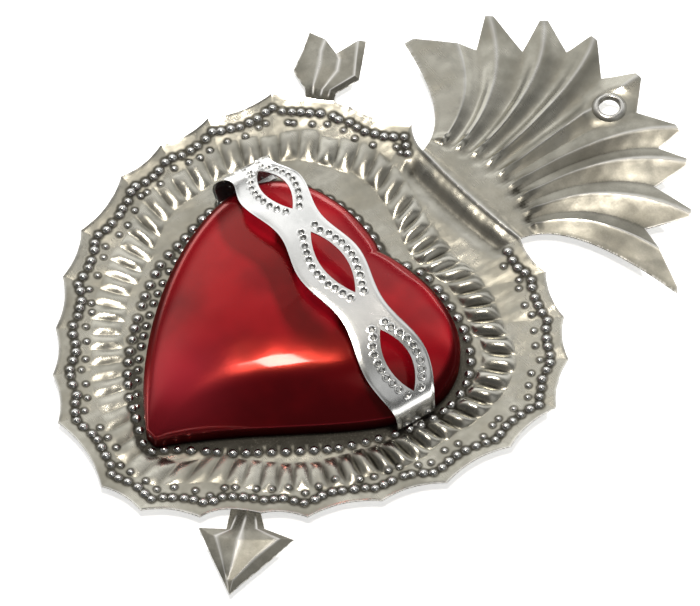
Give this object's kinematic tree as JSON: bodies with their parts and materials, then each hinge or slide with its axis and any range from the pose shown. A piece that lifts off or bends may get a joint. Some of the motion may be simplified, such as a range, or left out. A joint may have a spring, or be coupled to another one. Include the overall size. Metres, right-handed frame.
{
  "type": "wall ornament",
  "caption": "Embossed tin wall ornament: a domed red heart with a pierced crown band on a scalloped plate, with flames above and an arrow behind.",
  "frame": {"origin": "middle of the scalloped plate, on its flat back", "axes": "+Z out of the face, +Y towards the flames and the hanging hole, +X to the right as seen from the front"},
  "size_m": [0.1265, 0.1801, 0.0205],
  "materials": {
    "tin": "aged satin",
    "red_lacquer": "gloss",
    "bright_tin": "satin",
    "solder": "dull"
  },
  "bodies": {
    "root": {"backing_sheet": "tin", "heart_shell": "red_lacquer", "crown_band": "bright_tin", "heart_solder": "solder", "band_solder": "solder"}
  },
  "joints": []
}
